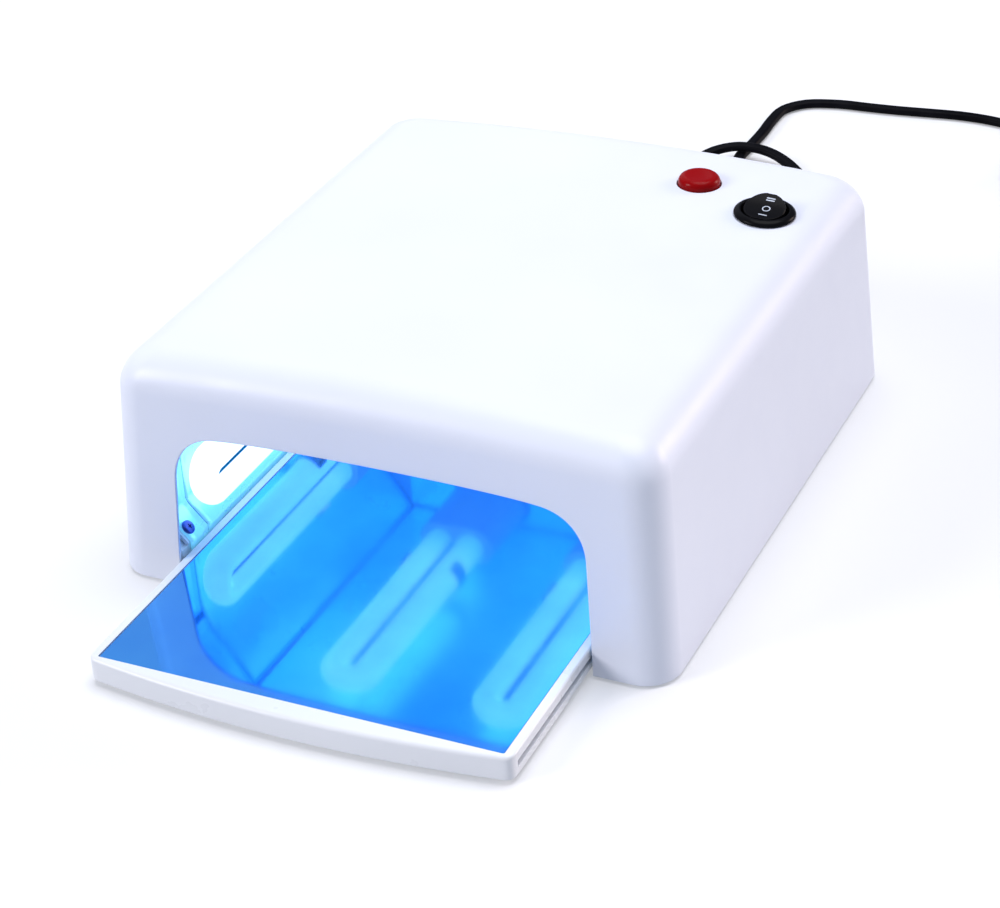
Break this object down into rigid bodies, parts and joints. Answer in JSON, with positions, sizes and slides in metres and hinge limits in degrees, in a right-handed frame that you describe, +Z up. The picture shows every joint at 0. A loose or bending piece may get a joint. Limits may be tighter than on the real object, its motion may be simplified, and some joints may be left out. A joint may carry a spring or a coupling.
{
  "type": "uv curing lamp",
  "caption": "Box-shaped lamp with an open-fronted mirror-lined chamber, lit tubes, a pull-out mirror tray, a start button and a rocker switch on top.",
  "frame": {"origin": "on the surface the lamp stands on, under the middle of its bounding box with the tray part pulled out, without the cord", "axes": "+X to the right seen from the front, +Y from the tray's front edge towards the back wall, +Z up"},
  "size_m": [0.2884, 0.5292, 0.0915],
  "materials": {
    "housing_white": "glossy white moulded plastic",
    "tray_white": "glossy white moulded plastic",
    "inner_white": "satin white moulded plastic",
    "base_grey": "fine-grained grey moulded plastic",
    "mirror_film": "bluish metallised lining film",
    "tray_mirror": "mirror sheet that shows the tubes' blue light",
    "tube_glass": "phosphor-coated glass, lit",
    "steel": "plated steel",
    "black_plastic": "satin black plastic",
    "red_plastic": "glossy red plastic",
    "board_green": "solder-masked laminate",
    "choke_copper": "varnished winding on laminated core",
    "brass": "plated contact blade",
    "rubber": "black rubber",
    "cord_black": "satin black cord jacket"
  },
  "bodies": {
    "lamp": {"base_frame": "base_grey", "base_screw_1": "steel", "base_screw_2": "steel", "base_screw_3": "steel", "base_screw_4": "steel", "board_capacitor": "black_plastic", "board_relay": "black_plastic", "button_board": "board_green", "button_spring": "steel", "button_switch": "black_plastic", "chamber_screw_left": "steel", "chamber_screw_right": "steel", "choke_1": "choke_copper", "choke_2": "choke_copper", "choke_3": "choke_copper", "choke_4": "choke_copper", "cord_coil": "cord_black", "cord_tail": "cord_black", "cord_tie": "rubber", "foot_1": "rubber", "foot_2": "rubber", "foot_3": "rubber", "foot_4": "rubber", "mains_cord": "cord_black", "mirror_film_back": "mirror_film", "mirror_film_ceiling": "mirror_film", "mirror_film_left": "mirror_film", "mirror_film_right": "mirror_film", "plug_body": "black_plastic", "plug_pin_1": "steel", "plug_pin_2": "steel", "reflector_chamber": "inner_white", "rocker_blade_1": "brass", "rocker_blade_2": "brass", "rocker_blade_3": "brass", "rocker_body": "black_plastic", "strain_relief": "rubber", "terminal_block": "inner_white", "timer_board": "board_green", "top_housing": "housing_white", "tube_base_ceiling_left": "inner_white", "tube_base_ceiling_right": "inner_white", "tube_base_left": "inner_white", "tube_base_right": "inner_white", "tube_clip_ceiling_left": "steel", "tube_clip_ceiling_right": "steel", "tube_clip_left": "steel", "tube_clip_right": "steel", "tube_glass_ceiling_left": "tube_glass", "tube_glass_ceiling_right": "tube_glass", "tube_glass_left": "tube_glass", "tube_glass_right": "tube_glass", "tube_socket_ceiling_left": "inner_white", "tube_socket_ceiling_right": "inner_white", "tube_socket_left": "inner_white", "tube_socket_right": "inner_white"},
    "tray": {"tray": "tray_white", "tray_mirror": "tray_mirror"},
    "button": {"button_cap": "red_plastic"},
    "rocker": {"rocker": "black_plastic"}
  },
  "joints": [
    {"name": "tray_slide", "type": "slide", "parent": "lamp", "child": "tray", "axis": [0, -1, 0], "range_m": [-0.06, 0.09]},
    {"name": "start_button_press", "type": "slide", "parent": "lamp", "child": "button", "axis": [-0.0356, 0, -0.9994], "range_m": [0, 0.002], "stiffness_N_per_m": 400, "deforming": ["button_spring"]},
    {"name": "rocker_tilt", "type": "hinge", "parent": "lamp", "child": "rocker", "pos_m": [0.07453, 0.0935, 0.08641], "axis": [-0.9982, 0, 0.0602], "range_deg": [0, 26]}
  ]
}
